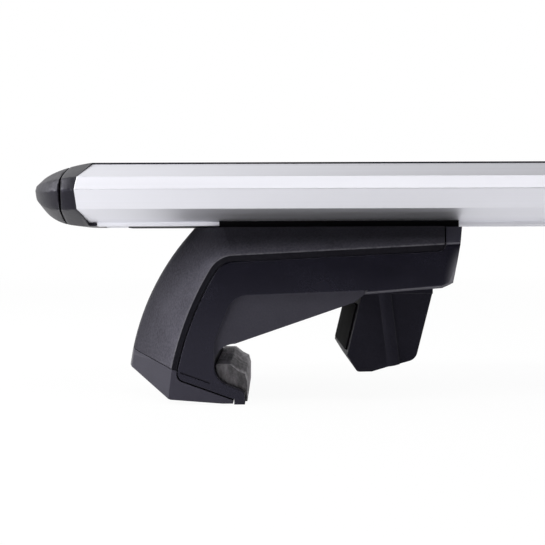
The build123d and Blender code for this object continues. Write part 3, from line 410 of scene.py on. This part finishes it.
finishes = {
    "bar": anodised_bar(),
    "strip": moulded(
        "strip_rubber", STRIP_TONES, rough=0.62, grain_scale=3000, grain_depth=0.00004, sheen=0.3
    ),
    "cap": moulded(
        "cap_plastic", CAP_TONES, rough=0.44, grain_scale=1200, grain_depth=0.00006, sheen=0.28, wear_and_highlight=CAP_WEAR_AND_HIGHLIGHT
    ),
    "housing": housing_finish(),
    "cover": cover_finish(),
    "toe": moulded("toe_satin", TOE_TONES, rough=0.42, grain_scale=2200, grain_depth=0.00003, sheen=0.35),
    "pad": worn_rubber(),
    "jaw": moulded(
        "jaw_black", JAW_TONES, rough=0.52, grain_scale=1500, grain_depth=0.00005, sheen=0.14, wear_and_highlight=JAW_WEAR_AND_HIGHLIGHT
    ),
    "rubber": moulded(
        "black_rubber", RUBBER_TONES, rough=0.8, grain_scale=2500, grain_depth=0.00004, sheen=0.03
    ),
    "plate": metal("black_plate", PLATE_TONES, rough=0.4),
    "steel": metal("zinc_steel", STEEL_TONES, rough=0.32),
}


# Pieces
def dressed(node, sharp_turn):
    """Copy of a CAD piece with smooth curved faces and level flat ones, riding where the piece rides."""
    bpy.ops.object.select_all(action="DESELECT")
    nodes[node].select_set(True)
    bpy.context.view_layer.objects.active = nodes[node]
    bpy.ops.object.duplicate()
    piece = bpy.context.active_object
    piece.name = f"{node}_finished"
    bpy.ops.object.parent_clear(type="CLEAR_KEEP_TRANSFORM")
    for key in list(piece.keys()):
        del piece[key]
    bpy.ops.object.mode_set(mode="EDIT")
    bpy.ops.mesh.select_all(action="SELECT")
    bpy.ops.mesh.remove_doubles(threshold=MERGE_GAP)
    bpy.ops.mesh.dissolve_limited(angle_limit=radians(FLAT_TURN))
    bpy.ops.object.mode_set(mode="OBJECT")
    bpy.ops.object.shade_smooth_by_angle(angle=radians(sharp_turn))
    level = piece.modifiers.new("level_faces", "WEIGHTED_NORMAL")
    level.keep_sharp = True
    bpy.ops.object.modifier_apply(modifier=level.name)
    body = next(name for name, members in record["behaviour"]["bodies"].items() if node in members)
    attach(piece, body)
    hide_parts(node)
    return piece


def fill_pocket(pad, outward):
    """Back of a hook pad pushed out against the round pocket that holds it."""
    bpy.ops.object.select_all(action="DESELECT")
    pad.select_set(True)
    bpy.context.view_layer.objects.active = pad
    bpy.ops.object.mode_set(mode="EDIT")
    bpy.ops.mesh.select_all(action="SELECT")
    bpy.ops.mesh.bisect(plane_co=(0, 0, PAD_FOLD_Z), plane_no=(0, 0, 1))
    bpy.ops.object.mode_set(mode="OBJECT")
    for corner in pad.data.vertices:
        corner.select = corner.co.x * outward > PAD_BACK_X and corner.co.z > PAD_BACK_Z
    bpy.ops.object.mode_set(mode="EDIT")
    bpy.ops.transform.translate(value=(outward * PAD_SWELL, 0, 0))
    bpy.ops.object.mode_set(mode="OBJECT")


MOULDED_KINDS = (
    "foot_cover", "toe_cap", "foot_body", "jaw", "end_collar", "end_nose", "hook_pad", "saddle_pad", "jaw_pad",
)
slot_of = {part["node"]: part["material_slot"] for part in record["subparts"]}

for node, solid in nodes.items():
    side, kind = node.split("_", 1)
    shown = solid
    if kind in MOULDED_KINDS and side in SIDES:
        shown = dressed(node, PAD_SHARP_TURN if kind == "hook_pad" else SHARP_TURN)
        if kind == "hook_pad":
            fill_pocket(shown, -1 if side == "left" else 1)
    shown.data.materials.clear()
    shown.data.materials.append(finishes[slot_of[node]])


# Studio
def studio_floor():
    """Wide pale floor that shows white and keeps a soft shadow."""
    bpy.ops.object.select_all(action="DESELECT")
    bpy.ops.mesh.primitive_plane_add(size=FLOOR_SIZE)
    floor = bpy.context.active_object
    floor.name = "studio_floor"
    material = bpy.data.materials.new("pale_floor")
    material.use_nodes = True
    tree = material.node_tree
    tree.nodes.remove(tree.nodes["Principled BSDF"])
    along, across, _ = axes(tree, tree.nodes.new("ShaderNodeTexCoord").outputs["Object"])
    near = spread(tree, across, -0.9, -0.35, 0, 1)
    pale = product(tree, near, spread(tree, along, -0.75, -0.3, 0.98, 0.35))
    share = spread(tree, across, 0.2, 1.5, 0.95, 1)
    paint = tree.nodes.new("ShaderNodeBsdfDiffuse")
    tree.links.new(blend_colours(tree, near, FLOOR_DARK, FLOOR_PALE), paint.inputs["Color"])
    white = tree.nodes.new("ShaderNodeEmission")
    white.inputs["Color"].default_value = WHITE
    ray = tree.nodes.new("ShaderNodeLightPath")
    direct = arithmetic(tree, "MAXIMUM", ray.outputs["Is Camera Ray"], ray.outputs["Is Transmission Ray"])
    mirrored = product(tree, ray.outputs["Is Glossy Ray"], pale)
    seen = arithmetic(tree, "MAXIMUM", product(tree, direct, share), mirrored)
    mix = tree.nodes.new("ShaderNodeMixShader")
    tree.links.new(seen, mix.inputs["Fac"])
    tree.links.new(paint.outputs["BSDF"], mix.inputs[1])
    tree.links.new(white.outputs["Emission"], mix.inputs[2])
    tree.links.new(mix.outputs["Shader"], tree.nodes["Material Output"].inputs["Surface"])
    floor.data.materials.append(material)


def studio_world():
    """White backdrop that metal mirrors, paler to the left, and a dim room that is lighter behind."""
    world = bpy.data.worlds.new("studio")
    bpy.context.scene.world = world
    world.use_nodes = True
    tree = world.node_tree
    room = tree.nodes["Background"]
    room.inputs["Color"].default_value = WHITE
    along, across, _ = axes(tree, tree.nodes.new("ShaderNodeTexCoord").outputs["Generated"])
    behind = spread(tree, across, -0.2, 0.5, 0, 1)
    fade = spread(tree, along, -0.25, 0.45, 0.94, 0.06)
    ray = tree.nodes.new("ShaderNodeLightPath")
    matt = arithmetic(tree, "SUBTRACT", 1, ray.outputs["Is Glossy Ray"])
    soft = product(tree, behind, matt, ROOM_LIGHT)
    tree.links.new(arithmetic(tree, "ADD", soft, ROOM_DIM), room.inputs["Strength"])
    white = tree.nodes.new("ShaderNodeBackground")
    white.inputs["Color"].default_value = WHITE
    direct = arithmetic(tree, "MAXIMUM", ray.outputs["Is Camera Ray"], ray.outputs["Is Transmission Ray"])
    mirrored = product(tree, ray.outputs["Is Glossy Ray"], behind, fade)
    mix = tree.nodes.new("ShaderNodeMixShader")
    tree.links.new(arithmetic(tree, "MAXIMUM", direct, mirrored), mix.inputs["Fac"])
    tree.links.new(room.outputs["Background"], mix.inputs[1])
    tree.links.new(white.outputs["Background"], mix.inputs[2])
    tree.links.new(mix.outputs["Shader"], tree.nodes["World Output"].inputs["Surface"])


def softbox(name, place, aim, size, power):
    """Large rectangular lamp aimed at a point."""
    lamp = bpy.data.lights.new(name, "AREA")
    lamp.shape = "RECTANGLE"
    lamp.size, lamp.size_y = size
    lamp.energy = power
    holder = bpy.data.objects.new(name, lamp)
    bpy.context.scene.collection.objects.link(holder)
    holder.location = place
    holder.rotation_euler = (Vector(aim) - Vector(place)).to_track_quat("-Z", "Y").to_euler()


def photo_camera():
    """Camera where the photographer stood."""
    data = bpy.data.cameras.new("camera")
    data.sensor_width = SENSOR_WIDTH
    data.lens = FOCAL_PX / FRAME_PX * SENSOR_WIDTH
    data.shift_x = 0.5 - EYE_PX[0] / FRAME_PX
    data.shift_y = EYE_PX[1] / FRAME_PX - 0.5
    data.clip_start = NEAREST_SEEN
    camera = bpy.data.objects.new("camera", data)
    bpy.context.scene.collection.objects.link(camera)
    camera.location = (FOOT_X, CAMERA_Y, CAMERA_Z)
    camera.rotation_euler = (radians(90), radians(CAMERA_ROLL), 0)
    bpy.context.scene.camera = camera


studio_floor()
studio_world()
for name, (place, aim, size, power) in LAMPS.items():
    softbox(name, place, aim, size, power)
photo_camera()
bpy.context.scene.view_settings.view_transform = "Standard"
